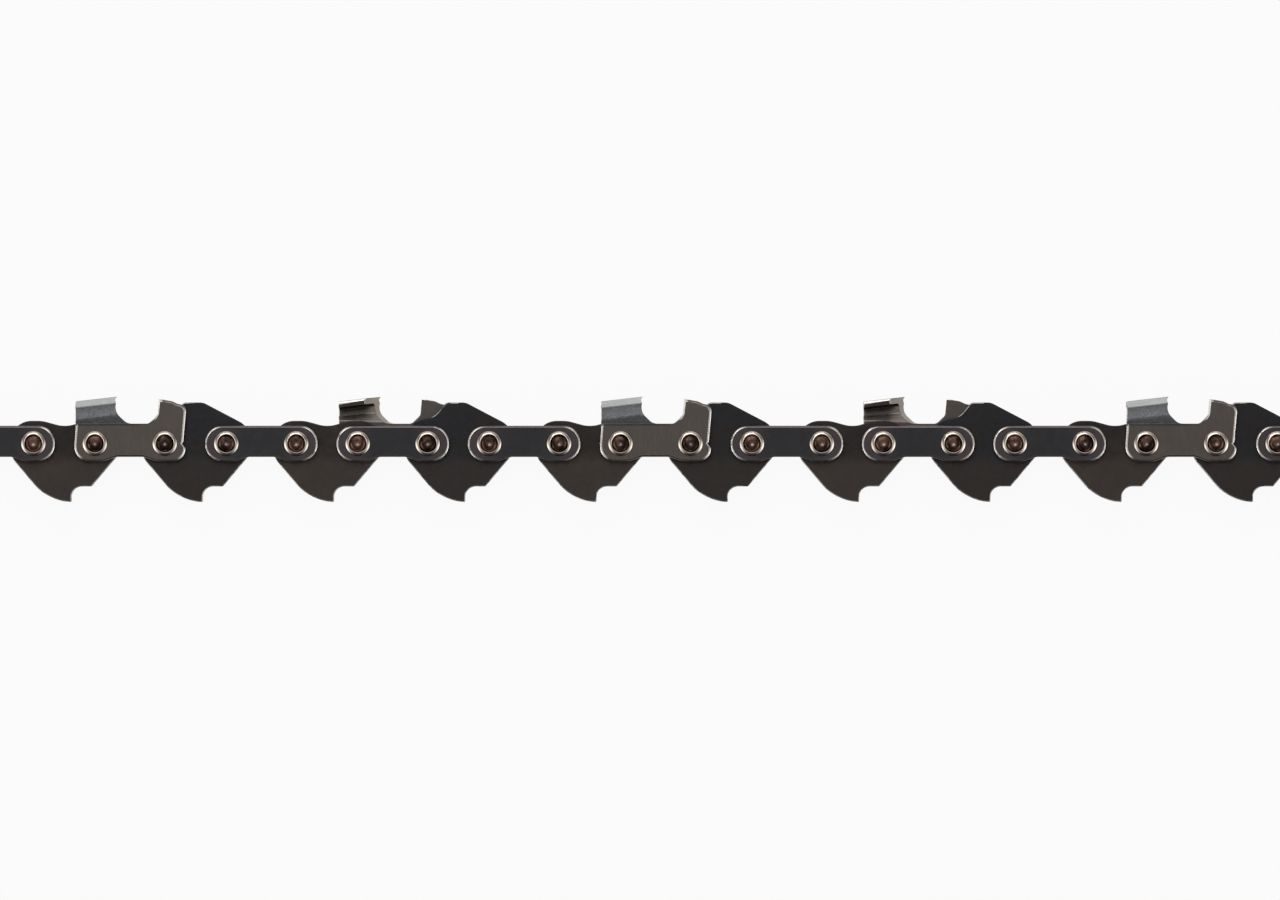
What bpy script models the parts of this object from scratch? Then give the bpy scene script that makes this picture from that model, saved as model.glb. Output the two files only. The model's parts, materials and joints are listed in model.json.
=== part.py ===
"""A straight length of low-profile saw chain, laid on its side, as separate links, cutters and rivets.

+X is the way the chain travels, +Y points from the drive tangs to the cutting edges, and +Z
points across the chain to its right-hand side, along every rivet. Outlines are given in the
frame of one link: x from the middle of its two rivets, y from the line through them.
"""
from math import acos, atan2, ceil, cos, dist, pi, radians, sin, tan

import bmesh
import bpy
from mathutils import Vector

MM = 0.001

# The chain as a whole
PAIRS = 11
RIGHT_CUTTERS = (1, 5, 9)
LEFT_CUTTERS = (3, 7)
DRIVE_SPACING = 8.7 * MM
STRAP_SPACING = 9.9 * MM
GAUGE = 1.3 * MM
PLATE = 1.1 * MM
SIDE_CLEARANCE = 0.08 * MM
SEAT = 0.03 * MM

# Rivets: a hub that the drive link turns on, two shanks, and a spun and dished head at each end
HUB_RADIUS = 2.0 * MM
HUB_CLEARANCE = 0.06 * MM
SHANK_RADIUS = 1.45 * MM
HEAD_OVERHANG = 0.35 * MM
HEAD_RISE = 0.55 * MM
HEAD_SLOPE = 0.3 * MM
DISH_DEPTH = 0.3 * MM

# Drive links: the two rounded lobes round the rivets
LOBE_TOP = 3.2 * MM
REAR_REACH = 3.35 * MM
FRONT_REACH = 3.45 * MM
LOBE_ROUND = 3.0 * MM
SHOULDER_INWARD = 1.15 * MM
SADDLE = 2.33 * MM
SADDLE_ROUND = 4.0 * MM

# Drive links: the tang that runs in the bar groove and scoops up its oil
TANG_DEPTH = 8.3 * MM
TANG_TIP = 0.95 * MM
TIP_ROUND = 0.15 * MM
BELLY_ANGLE = radians(49.7)
BELLY_CORNER = -2.33 * MM
BELLY_DEPTH = 8.17 * MM
BELLY_ROUND = 6.5 * MM
SCOOP_TOP = 6.1 * MM
SCOOP_LENGTH = 2.86 * MM
SCOOP_ROUND = 1.5 * MM
NOSE_ANGLE = radians(49.8)
NOSE_ROUND = 0.25 * MM

# Drive links: the safety bumper on every second one
BUMPER_TOP = 5.8 * MM
BUMPER_REAR = -1.75 * MM
BUMPER_FRONT = 1.0 * MM
BUMPER_SLOPE = radians(27.7)
BUMPER_LOBE = 2.95 * MM
BUMPER_FRONT_ROUND = 1.6 * MM
BUMPER_REAR_ROUND = 0.7 * MM
FLANK_ANGLE = radians(50)
FLANK_FOOT = 3.7 * MM
FLANK_ROUND = 2.5 * MM

# Tie straps, and the feet that they share with the cutters. Reaches are measured from a rivet
STRAP_TOP = 2.5 * MM
STRAP_REACH = 3.05 * MM
FOOT = 2.55 * MM
FOOT_INWARD = 1.25 * MM
WAIST = 1.92 * MM
WAIST_RAMP = 1.8 * MM
WAIST_ROUND = 1.5 * MM

# Cutters: the blank seen from the side, its heel behind the rear rivet and its toe before the front one
HEEL_REACH = 2.75 * MM
HEEL_BULGE = 0.22 * MM
HEEL_ROUND = 2.1 * MM
TOE_REACH = 2.95 * MM
TOE_TOP = -0.7 * MM
TOE_ROUND = 2.1 * MM
NOTCH_REACH = 2.4 * MM
NOTCH_LIP = 0.27 * MM
BROW_REACH = 3.1 * MM
BROW_TOP = 5.4 * MM
BROW_ROUND = 1.1 * MM
BROW_START = 1.8 * MM
BROW_RISE = 0.2 * MM
GAUGE_FRONT = 1.0 * MM
GAUGE_REAR = -0.9 * MM
GAUGE_TOP = 6.3 * MM
GAUGE_SLOPE = radians(9.5)

# Cutters: the gullet and the face ground by a round file
TIP_AHEAD = 3.75 * MM
GULLET_FLOOR = 2.8 * MM
GULLET_START = 1.6 * MM
GULLET_END = -2.3 * MM
GULLET_RAMP = 1.2 * MM
GULLET_ROUND = 0.8 * MM
RAMP_ANGLE = radians(34.8)
FILE_RADIUS = 2.0 * MM
FILING_ANGLE = radians(30)
LIP_DEPTH = 0.45 * MM
LIP_ANGLE = radians(42)
LIP_ROUND = 0.6 * MM
HOOK_ANGLE = radians(69.5)

# Cutters: the sheet jogged outward, chamfered at the corner and bent over the chain
TOOTH_TOP = 6.7 * MM
TOOTH_SLOPE = radians(6.6)
JOG_START = 2.75 * MM
JOG_BELOW_TOP = 2.75 * MM
JOG_OUT = 0.85 * MM
CORNER_BELOW_TOP = 0.95 * MM
CORNER_OUT = 1.35 * MM
REAR_RELIEF = 0.4 * MM
CHAMFER_IN = 0.8 * MM
TOP_PLATE = 0.85 * MM
TOP_REACH = 0.6 * MM

# Fineness of the round stretches, and the spare metal that blanking and grinding take away
ROUND_STEPS = 12
ARC_STEP = radians(24)
CHORD_GAP = 0.05 * MM
SMOOTH_ANGLE = radians(40)
FILLET_SHARE = 0.98
SPARE = 0.6 * MM

# What follows from those sizes
PAIR_PITCH = DRIVE_SPACING + STRAP_SPACING
HALF_DRIVE = DRIVE_SPACING / 2
HALF_STRAP = STRAP_SPACING / 2
INNER_FACE = GAUGE / 2 + SIDE_CLEARANCE
OUTER_FACE = INNER_FACE + PLATE
CORNER_Z = OUTER_FACE + CORNER_OUT
HEEL_X = -HALF_STRAP - HEEL_REACH
TIP_X = -HALF_STRAP + TIP_AHEAD
GULLET_X = HALF_STRAP + GULLET_END
STOCK_TOP = TOOTH_TOP + SPARE
MIDDLE_PAIR = PAIRS // 2
CHAIN_X = (REAR_REACH - FRONT_REACH) / 2
CHAIN_Y = (TANG_DEPTH - TOOTH_TOP) / 2
CHAIN_Z = max(CORNER_Z, OUTER_FACE + SEAT + HEAD_RISE)


def clear_scene():
    for old in list(bpy.data.objects):
        bpy.data.objects.remove(old, do_unlink=True)


def material(name, colour, roughness, metallic):
    look = bpy.data.materials.new(name)
    look.use_nodes = True
    shader = look.node_tree.nodes["Principled BSDF"]
    shader.inputs["Base Color"].default_value = (*colour, 1)
    shader.inputs["Roughness"].default_value = roughness
    shader.inputs["Metallic"].default_value = metallic
    return look


def turn_at(before, corner, after):
    """The way into a corner and the signed angle that the outline turns by there."""
    way_in = atan2(corner[1] - before[1], corner[0] - before[0])
    way_out = atan2(after[1] - corner[1], after[0] - corner[0])
    return way_in, (way_out - way_in + pi) % (2 * pi) - pi


def fillet(corner, way_in, turn, reach):
    """Points on the arc that rounds a corner and meets its sides at a distance of reach."""
    if reach == 0:
        return [corner]
    radius = reach / tan(abs(turn) / 2)
    side = 1 if turn > 0 else -1
    centre_x = corner[0] - reach * cos(way_in) - side * radius * sin(way_in)
    centre_y = corner[1] - reach * sin(way_in) + side * radius * cos(way_in)
    steps = ceil(abs(turn) / min(ARC_STEP, 2 * acos(1 - CHORD_GAP / radius)))
    angles = [way_in - side * pi / 2 + turn * step / steps for step in range(steps + 1)]
    return [(centre_x + radius * cos(a), centre_y + radius * sin(a)) for a in angles]


def rounded(corners):
    """A closed outline from corners (x, y, radius). Two fillets that would meet share their side."""
    spots = [(x, y) for x, y, _ in corners]
    count = len(corners)
    turns = [turn_at(spots[i - 1], spots[i], spots[(i + 1) % count]) for i in range(count)]
    wanted = [radius * tan(abs(turns[i][1]) / 2) for i, (_, _, radius) in enumerate(corners)]
    outline = []
    for i in range(count):
        reach = wanted[i]
        for other in (i - 1, (i + 1) % count):
            room = FILLET_SHARE * dist(spots[i], spots[other])
            if reach and wanted[i] + wanted[other] > room:
                reach = min(reach, room * wanted[i] / (wanted[i] + wanted[other]))
        outline.extend(fillet(spots[i], *turns[i], reach))
    return outline


def hole(x, radius):
    """A polygon whose flats touch the given radius, so that a round pin of that radius fits."""
    corner = radius / cos(pi / ROUND_STEPS)
    angles = [2 * pi * step / ROUND_STEPS for step in range(ROUND_STEPS)]
    return [(x + corner * cos(a), corner * sin(a)) for a in angles]


def finish_mesh(bm, name, look):
    bmesh.ops.recalc_face_normals(bm, faces=bm.faces)
    mesh = bpy.data.meshes.new(name)
    bm.to_mesh(mesh)
    bm.free()
    mesh.materials.append(look)
    return mesh


def plate_mesh(name, look, loops, low, high):
    """A flat plate from height low to high, from an outline and the holes that go through it."""
    bm = bmesh.new()
    for loop in loops:
        corners = [bm.verts.new((x, y, low)) for x, y in loop]
        for i, corner in enumerate(corners):
            bm.edges.new((corners[i - 1], corner))
    bmesh.ops.triangle_fill(bm, use_beauty=True, edges=bm.edges)
    raised = bmesh.ops.extrude_face_region(bm, geom=bm.faces[:])["geom"]
    upper = [item for item in raised if isinstance(item, bmesh.types.BMVert)]
    bmesh.ops.translate(bm, verts=upper, vec=(0, 0, high - low))
    return finish_mesh(bm, name, look)


def loft_mesh(name, look, loops):
    """A closed solid through loops that all have the same number of points."""
    bm = bmesh.new()
    rings = [[bm.verts.new(point) for point in loop] for loop in loops]
    for ring, following in zip(rings, rings[1:]):
        for i in range(len(ring)):
            bm.faces.new((ring[i - 1], ring[i], following[i], following[i - 1]))
    for end in (rings[0], rings[-1]):
        bm.faces.new(end)
    return finish_mesh(bm, name, look)


def drive_tang():
    """Corners of a drive link's lower part, from the rear end round the tang to the front end."""
    rear = -HALF_DRIVE - REAR_REACH
    front = HALF_DRIVE + FRONT_REACH
    nose = TANG_TIP + SCOOP_LENGTH
    belly_top = -BELLY_DEPTH + (BELLY_CORNER - rear) * tan(BELLY_ANGLE)
    nose_top = -SCOOP_TOP + (front - nose) * tan(NOSE_ANGLE)
    return [
        (rear, belly_top, LOBE_ROUND),
        (BELLY_CORNER, -BELLY_DEPTH, BELLY_ROUND),
        (TANG_TIP, -TANG_DEPTH, TIP_ROUND),
        (TANG_TIP, -SCOOP_TOP, SCOOP_ROUND),
        (nose, -SCOOP_TOP, NOSE_ROUND),
        (front, nose_top, LOBE_ROUND),
    ]


def drive_link_mesh(look):
    """A plain drive link: a lobe over each rivet and a shallow saddle between them."""
    shoulder = HALF_DRIVE - SHOULDER_INWARD
    outline = drive_tang() + [
        (HALF_DRIVE + FRONT_REACH, LOBE_TOP, LOBE_ROUND),
        (shoulder, LOBE_TOP, SADDLE_ROUND),
        (0, SADDLE, SADDLE_ROUND),
        (-shoulder, LOBE_TOP, SADDLE_ROUND),
        (-HALF_DRIVE - REAR_REACH, LOBE_TOP, LOBE_ROUND),
    ]
    return drive_plate("drive_link", look, outline)


def bumper_link_mesh(look):
    """A drive link whose back rises behind the depth gauge and ramps down to the front."""
    front = HALF_DRIVE + FRONT_REACH
    ramp_foot = BUMPER_TOP - (front - BUMPER_FRONT) * tan(BUMPER_SLOPE)
    flank_x = BUMPER_REAR - (BUMPER_TOP - FLANK_FOOT) / tan(FLANK_ANGLE)
    outline = drive_tang() + [
        (front, ramp_foot, LOBE_ROUND),
        (BUMPER_FRONT, BUMPER_TOP, BUMPER_FRONT_ROUND),
        (BUMPER_REAR, BUMPER_TOP, BUMPER_REAR_ROUND),
        (flank_x, FLANK_FOOT, FLANK_ROUND),
        (-HALF_DRIVE - REAR_REACH, BUMPER_LOBE, LOBE_ROUND),
    ]
    return drive_plate("bumper_link", look, outline)


def drive_plate(name, look, outline):
    bore = HUB_RADIUS + HUB_CLEARANCE
    loops = [rounded(outline), hole(-HALF_DRIVE, bore), hole(HALF_DRIVE, bore)]
    return plate_mesh(name, look, loops, -GAUGE / 2, GAUGE / 2)


def feet():
    """Corners along the bottom of a strap or cutter, between its heel and its toe."""
    foot = HALF_STRAP - FOOT_INWARD
    waist = foot - WAIST_RAMP
    return [
        (-foot, -FOOT, WAIST_ROUND),
        (-waist, -WAIST, WAIST_ROUND),
        (waist, -WAIST, WAIST_ROUND),
        (foot, -FOOT, WAIST_ROUND),
    ]


def strap_holes():
    fit = SHANK_RADIUS + SEAT
    return [hole(-HALF_STRAP, fit), hole(HALF_STRAP, fit)]


def tie_strap_mesh(look):
    """A tie strap: round ends, a straight back and two feet that ride on the bar's rail."""
    end = HALF_STRAP + STRAP_REACH
    end_round = (STRAP_TOP + FOOT) / 2
    outline = [(-end, -FOOT, end_round), *feet()] + [
        (end, -FOOT, end_round),
        (end, STRAP_TOP, end_round),
        (-end, STRAP_TOP, end_round),
    ]
    return plate_mesh("tie_strap", look, [rounded(outline), *strap_holes()], -PLATE / 2, PLATE / 2)


def cutter_blank():
    """The side view of a cutter with its depth gauge, before the gullet is cut out of the stock."""
    brow = HALF_STRAP + BROW_REACH
    brow_start = HALF_STRAP + BROW_START
    gauge_front = HALF_STRAP + GAUGE_FRONT
    gauge_rear = HALF_STRAP + GAUGE_REAR
    stock_front = GULLET_X + GULLET_RAMP / 2
    slope = tan(GAUGE_SLOPE)
    return [(HEEL_X - HEEL_BULGE, -FOOT, HEEL_ROUND), *feet()] + [
        (HALF_STRAP + TOE_REACH, -FOOT, TOE_ROUND),
        (HALF_STRAP + TOE_REACH, TOE_TOP, 0),
        (HALF_STRAP + NOTCH_REACH, 0, 0),
        (HALF_STRAP + NOTCH_REACH + NOTCH_LIP, NOTCH_LIP, 0),
        (brow, BROW_TOP, BROW_ROUND),
        (brow_start, BROW_TOP + BROW_RISE, BROW_ROUND),
        (gauge_front, GAUGE_TOP - (gauge_front - gauge_rear) * slope, BROW_ROUND),
        (stock_front, GAUGE_TOP + (gauge_rear - stock_front) * slope, 0),
        (stock_front, STOCK_TOP, 0),
        (HEEL_X, STOCK_TOP, 0),
        (HEEL_X, JOG_START, HEEL_ROUND),
        (HEEL_X - HEEL_BULGE, 0, HEEL_ROUND),
    ]


def inside_of(outside, thicknesses):
    """The inner side of a bent sheet: each straight of the outside moved in by its thickness."""
    lines = []
    for start, end, thickness in zip(outside, outside[1:], thicknesses):
        along = (Vector(end) - Vector(start)).normalized()
        lines.append((Vector(start) + thickness * Vector((along.y, -along.x)), along))
    inside = [lines[0][0]]
    for (point, along), (other, onward) in zip(lines, lines[1:]):
        travel = (other - point).cross(onward) / along.cross(onward)
        inside.append(point + travel * along)
    point, along = lines[-1]
    inside.append(point + (Vector(outside[-1]) - point).dot(along) * along)
    return [tuple(spot) for spot in inside]


def tooth_section(x):
    """The bent sheet across the tooth at x: points up its outside and back down its inside."""
    top = TOOTH_TOP + (x - TIP_X) * tan(TOOTH_SLOPE)
    relief = REAR_RELIEF * (TIP_X - x) / (TIP_X - HEEL_X)
    outside = [
        (-FOOT - SPARE, OUTER_FACE),
        (JOG_START, OUTER_FACE),
        (top - JOG_BELOW_TOP, OUTER_FACE + JOG_OUT - relief),
        (top - CORNER_BELOW_TOP, CORNER_Z - relief),
        (top, CORNER_Z - relief - CHAMFER_IN),
        (top, -TOP_REACH),
    ]
    inside = inside_of(outside, [PLATE] * 4 + [TOP_PLATE])
    return [(x, y, z) for y, z in outside + inside[::-1]]


def flat_section(x, bent):
    """The flat sheet across the depth gauge at x, matched to a bent section point by point."""
    flat = []
    for rise in (bent[:6], bent[:5:-1]):
        start = rise[1][1]
        heights = [rise[0][1]] + [start + (STOCK_TOP - start) * step / 4 for step in range(5)]
        flat.append([(x, y, rise[0][2]) for y in heights])
    return flat[0] + flat[1][::-1]


def gullet_loop(z):
    """The gullet's outline at height z. Its ground face follows the file, its front is square."""
    slant = (z - CORNER_Z) * tan(FILING_ANGLE)
    above = STOCK_TOP + SPARE
    lip_y = TOOTH_TOP - LIP_DEPTH
    hook = tan(HOOK_ANGLE)
    ramp = tan(RAMP_ANGLE)
    tip = TIP_X + slant
    lip = tip - LIP_DEPTH / tan(LIP_ANGLE)
    foot = tip + GULLET_START
    throat = (foot - lip + lip_y / hook + GULLET_FLOOR / ramp) / (1 / hook + 1 / ramp)
    rise = GULLET_X + GULLET_RAMP
    loop = rounded([
        (tip + (above - TOOTH_TOP) / tan(LIP_ANGLE), above, 0),
        (lip, lip_y, LIP_ROUND),
        (lip + (throat - lip_y) / hook, throat, FILE_RADIUS),
        (foot, GULLET_FLOOR, FILE_RADIUS),
        (GULLET_X, GULLET_FLOOR, GULLET_ROUND),
        (rise, GULLET_FLOOR + GULLET_RAMP, GULLET_ROUND),
        (HALF_STRAP + GAUGE_REAR, GAUGE_TOP, 0),
        (HALF_STRAP + GAUGE_REAR, above, 0),
    ])
    return [(x, y, z) for x, y in loop]


def shaped(stock, tools):
    """The mesh left of a stock object after each tool's Boolean, with the tools taken away."""
    for operation, tool in tools:
        cut = stock.modifiers.new(tool.name, "BOOLEAN")
        cut.operation = operation
        cut.solver = "EXACT"
        cut.object = tool
    bpy.context.view_layer.update()
    shape = stock.evaluated_get(bpy.context.evaluated_depsgraph_get())
    mesh = bpy.data.meshes.new_from_object(shape)
    for used in [stock] + [tool for _, tool in tools]:
        bpy.data.objects.remove(used)
    return mesh


def cutter_mesh(look):
    """A right-hand cutter: the sheet is bent, blanked to its side view, and its gullet ground."""
    bent = tooth_section(TIP_X + 2 * SPARE)
    stations = [
        tooth_section(HEEL_X - SPARE),
        bent,
        flat_section(GULLET_X, bent),
        flat_section(HALF_STRAP + BROW_REACH + SPARE, bent),
    ]
    sheet = add_object("sheet", loft_mesh("sheet", look, stations))
    below = -TOP_REACH - SPARE
    above = CORNER_Z + SPARE
    outline = [rounded(cutter_blank()), *strap_holes()]
    blank = add_object("blank", plate_mesh("blank", look, outline, below, above))
    gullet = add_object("gullet", loft_mesh("gullet", look, [gullet_loop(below), gullet_loop(above)]))
    mesh = shaped(sheet, [("INTERSECT", blank), ("DIFFERENCE", gullet)])
    mesh.name = "right_cutter"
    return mesh


def mirrored(mesh, name):
    """The left-hand copy of a mesh, mirrored across the chain's middle plane."""
    bm = bmesh.new()
    bm.from_mesh(mesh)
    bmesh.ops.scale(bm, verts=bm.verts, vec=(1, 1, -1))
    bmesh.ops.reverse_faces(bm, faces=bm.faces)
    copy = bpy.data.meshes.new(name)
    bm.to_mesh(copy)
    bm.free()
    for look in mesh.materials:
        copy.materials.append(look)
    return copy


def rivet_mesh(look):
    """A rivet turned about its axis from a profile that runs down its outer side."""
    head = OUTER_FACE + SEAT
    hub = INNER_FACE - SEAT
    rim = SHANK_RADIUS + HEAD_OVERHANG
    upper = [
        (0, head + HEAD_RISE - DISH_DEPTH),
        (rim - HEAD_SLOPE, head + HEAD_RISE),
        (rim, head),
        (SHANK_RADIUS, head),
        (SHANK_RADIUS, hub),
        (HUB_RADIUS, hub),
    ]
    lower = [(radius, -height) for radius, height in reversed(upper)]
    bm = bmesh.new()
    points = [bm.verts.new((radius, 0, height)) for radius, height in upper + lower]
    line = [bm.edges.new(pair) for pair in zip(points, points[1:])]
    turn = {"cent": (0, 0, 0), "axis": (0, 0, 1), "angle": 2 * pi, "steps": ROUND_STEPS}
    bmesh.ops.spin(bm, geom=points + line, use_merge=True, **turn)
    bmesh.ops.remove_doubles(bm, verts=bm.verts, dist=0.001 * MM)
    mesh = finish_mesh(bm, "rivet", look)
    mesh.shade_smooth()
    mesh.set_sharp_from_angle(angle=SMOOTH_ANGLE)
    return mesh


def add_object(name, data, carrier=None, place=(0, 0, 0)):
    """An object, or an empty where there is no mesh, placed relative to what carries it."""
    item = bpy.data.objects.new(name, data)
    bpy.context.scene.collection.objects.link(item)
    item.parent = carrier
    item.location = place
    return item


def add_drive_link(number, meshes, pivot, middle):
    """Drive links take turns: every even one has the bumper that shields a cutter's depth gauge."""
    kind = "bumper_link" if number % 2 == 0 else "drive_link"
    add_object(f"{kind}_{number + 1:02d}", meshes[kind], pivot, (middle, 0, 0))


def add_pair(number, meshes, pivot, middle):
    """The two plates of one pair, with the rivets that hold them together."""
    plate_z = (INNER_FACE + OUTER_FACE) / 2
    for side, sign, cutters in (("right", 1, RIGHT_CUTTERS), ("left", -1, LEFT_CUTTERS)):
        if number in cutters:
            name = f"{side}_cutter"
            add_object(f"{name}_{number + 1:02d}", meshes[name], pivot, (middle, 0, 0))
        else:
            place = (middle, 0, sign * plate_z)
            add_object(f"{side}_strap_{number + 1:02d}", meshes["tie_strap"], pivot, place)
    for end, rivet_x in (("rear", -HALF_STRAP), ("front", HALF_STRAP)):
        add_object(f"{end}_rivet_{number + 1:02d}", meshes["rivet"], pivot, (middle + rivet_x, 0, 0))


def add_side(meshes, root, way):
    """The links on one side of the middle pair, each on a pivot at the rivet nearer the middle."""
    carrier = root
    step = way * HALF_STRAP
    number = MIDDLE_PAIR
    for _ in range(MIDDLE_PAIR + 1):
        link = number + 1 if way > 0 else number
        hinge = add_object(f"pivot_of_link_{link + 1:02d}", None, carrier, (step, 0, 0))
        add_drive_link(link, meshes, hinge, way * HALF_DRIVE)
        number += way
        if not 0 <= number < PAIRS:
            return
        carrier = add_object(f"pivot_of_pair_{number + 1:02d}", None, hinge, (way * DRIVE_SPACING, 0, 0))
        add_pair(number, meshes, carrier, way * HALF_STRAP)
        step = way * STRAP_SPACING


def make_meshes():
    drive = material("blackened_drive_steel", (0.045, 0.038, 0.034), 0.45, 0.85)
    bumper = material("blackened_bumper_steel", (0.04, 0.035, 0.033), 0.45, 0.85)
    strap = material("blued_strap_steel", (0.055, 0.058, 0.075), 0.38, 0.85)
    cutter = material("satin_cutter_steel", (0.16, 0.145, 0.13), 0.4, 0.9)
    rivet = material("bright_rivet_steel", (0.62, 0.56, 0.5), 0.25, 1.0)
    right = cutter_mesh(cutter)
    return {
        "drive_link": drive_link_mesh(drive),
        "bumper_link": bumper_link_mesh(bumper),
        "tie_strap": tie_strap_mesh(strap),
        "right_cutter": right,
        "left_cutter": mirrored(right, "left_cutter"),
        "rivet": rivet_mesh(rivet),
    }


def main():
    clear_scene()
    meshes = make_meshes()
    root = add_object("middle_pair", None, None, (CHAIN_X, CHAIN_Y, CHAIN_Z))
    add_pair(MIDDLE_PAIR, meshes, root, 0)
    for way in (1, -1):
        add_side(meshes, root, way)
    bpy.context.view_layer.update()


main()
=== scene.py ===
"""Dresses a length of low-profile saw chain: punched links, ground cutters and spun rivets.

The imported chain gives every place. +X is the way the chain travels, +Y points from the drive
tangs to the cutting edges and +Z points up, across the chain, along every rivet. Outlines are
given in the frame of one link: x from the middle of its two rivets, y from the line through them.
"""
import json
from math import atan2, ceil, cos, dist, pi, radians, sin, tan

import bmesh
import bpy
from bpy.props import FloatProperty, FloatVectorProperty, IntProperty, PointerProperty
from mathutils import Matrix, Vector


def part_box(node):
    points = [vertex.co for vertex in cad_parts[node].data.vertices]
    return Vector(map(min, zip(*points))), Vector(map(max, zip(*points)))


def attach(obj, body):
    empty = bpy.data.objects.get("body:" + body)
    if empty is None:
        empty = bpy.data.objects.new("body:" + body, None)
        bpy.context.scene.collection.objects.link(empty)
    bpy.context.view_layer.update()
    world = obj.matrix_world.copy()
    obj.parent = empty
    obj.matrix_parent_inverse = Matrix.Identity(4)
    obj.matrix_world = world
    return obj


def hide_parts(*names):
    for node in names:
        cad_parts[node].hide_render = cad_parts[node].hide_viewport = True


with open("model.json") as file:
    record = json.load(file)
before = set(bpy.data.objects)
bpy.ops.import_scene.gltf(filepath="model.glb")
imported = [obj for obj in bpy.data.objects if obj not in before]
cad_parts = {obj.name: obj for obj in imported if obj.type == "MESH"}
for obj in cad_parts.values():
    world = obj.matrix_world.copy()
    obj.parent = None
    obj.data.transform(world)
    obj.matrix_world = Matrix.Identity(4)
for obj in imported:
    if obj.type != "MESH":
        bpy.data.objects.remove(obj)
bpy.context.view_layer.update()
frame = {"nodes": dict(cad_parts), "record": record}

bl_info = {
    "name": "Saw Chain Dressing",
    "version": (1, 0, 0),
    "blender": (4, 5, 0),
    "location": "3D View > Sidebar > Saw Chain",
    "description": "Models and finishes the links, cutters and rivets of a length of saw chain",
    "category": "Object",
}

MM = 0.001

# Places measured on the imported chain
RIVET_LOW, RIVET_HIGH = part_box("rear_rivet_06")
RIVET_CENTRE = (RIVET_LOW + RIVET_HIGH) / 2
LINK_LOW, LINK_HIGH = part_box("drive_link_06")
STRAP_LOW, STRAP_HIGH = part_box("left_strap_06")
GAUGE = LINK_HIGH.z - LINK_LOW.z
PLATE = STRAP_HIGH.z - STRAP_LOW.z
OUTER_FACE = RIVET_CENTRE.z - STRAP_LOW.z
INNER_FACE = OUTER_FACE - PLATE

# Drive links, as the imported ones
LOBE_TOP = 3.2 * MM
REAR_REACH = 3.35 * MM
FRONT_REACH = 3.45 * MM
LOBE_ROUND = 3.0 * MM
SHOULDER_INWARD = 1.15 * MM
SADDLE = 2.33 * MM
SADDLE_ROUND = 4.0 * MM
TANG_DEPTH = 8.3 * MM
TANG_TIP = 0.95 * MM
TIP_ROUND = 0.15 * MM
BELLY_ANGLE = radians(49.7)
BELLY_CORNER = -2.33 * MM
BELLY_DEPTH = 8.17 * MM
BELLY_ROUND = 6.5 * MM
SCOOP_TOP = 6.1 * MM
SCOOP_LENGTH = 2.86 * MM
SCOOP_ROUND = 1.5 * MM
NOSE_ANGLE = radians(49.8)
NOSE_ROUND = 0.25 * MM
BUMPER_TOP = 5.8 * MM
BUMPER_REAR = -1.75 * MM
BUMPER_FRONT = 1.0 * MM
BUMPER_SLOPE = radians(27.7)
BUMPER_LOBE = 2.95 * MM
BUMPER_FRONT_ROUND = 1.6 * MM
BUMPER_REAR_ROUND = 0.7 * MM
FLANK_ANGLE = radians(50)
FLANK_FOOT = 3.7 * MM
FLANK_ROUND = 2.5 * MM

# Tie straps, and the feet that they share with the cutters
STRAP_TOP = 2.5 * MM
STRAP_REACH = 3.05 * MM
FOOT = 2.55 * MM
FOOT_INWARD = 1.25 * MM
WAIST = 1.92 * MM
WAIST_RAMP = 1.8 * MM
WAIST_ROUND = 1.5 * MM

# Cutters
HEEL_REACH = 2.75 * MM
HEEL_BULGE = 0.22 * MM
HEEL_ROUND = 2.1 * MM
TOE_REACH = 2.95 * MM
TOE_TOP = -0.7 * MM
TOE_ROUND = 2.1 * MM
NOTCH_REACH = 2.4 * MM
NOTCH_LIP = 0.27 * MM
BROW_REACH = 3.1 * MM
BROW_TOP = 5.4 * MM
BROW_ROUND = 1.1 * MM
BROW_START = 1.8 * MM
BROW_RISE = 0.2 * MM
GAUGE_FRONT = 1.0 * MM
GAUGE_REAR = -0.9 * MM
GAUGE_TOP = 6.3 * MM
GAUGE_SLOPE = radians(9.5)
TIP_AHEAD = 3.75 * MM
GULLET_FLOOR = 2.8 * MM
GULLET_START = 1.6 * MM
GULLET_END = -2.3 * MM
GULLET_RAMP = 1.2 * MM
GULLET_ROUND = 0.8 * MM
RAMP_ANGLE = radians(34.8)
FILE_RADIUS = 2.0 * MM
FILING_ANGLE = radians(30)
LIP_DEPTH = 0.45 * MM
LIP_ANGLE = radians(42)
LIP_ROUND = 0.6 * MM
HOOK_ANGLE = radians(69.5)
TOOTH_TOP = 6.7 * MM
TOOTH_SLOPE = radians(6.6)
JOG_START = 2.75 * MM
JOG_BELOW_TOP = 2.75 * MM
JOG_OUT = 0.85 * MM
CORNER_BELOW_TOP = 0.95 * MM
CORNER_OUT = 1.35 * MM
REAR_RELIEF = 0.4 * MM
CHAMFER_IN = 0.8 * MM
TOP_PLATE = 0.85 * MM
TOP_REACH = 0.6 * MM

# Rivets
HUB_RADIUS = 2.0 * MM
HUB_CLEARANCE = 0.06 * MM
SHANK_RADIUS = 1.45 * MM
SEAT = 0.03 * MM
HEAD_RADIUS = 1.8 * MM
HEAD_RISE = 0.55 * MM

# Parts of the cutter's rim that each kind of edge takes
GROUND_SHARE = 0.12
SHEET_SHARE = 0.22
NOTCH_SHARE = 0.5
PLATE_EDGE_SHARE = 0.8

# Parts of the bend that each corner of the sheet takes, by its place in the section
BEND_SHARES = {1: 1.0, 2: 1.0, 3: 0.3, 4: 0.5, 7: 0.2, 8: 0.2, 9: 0.6, 10: 0.6}
BEND_STEPS = 4

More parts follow.
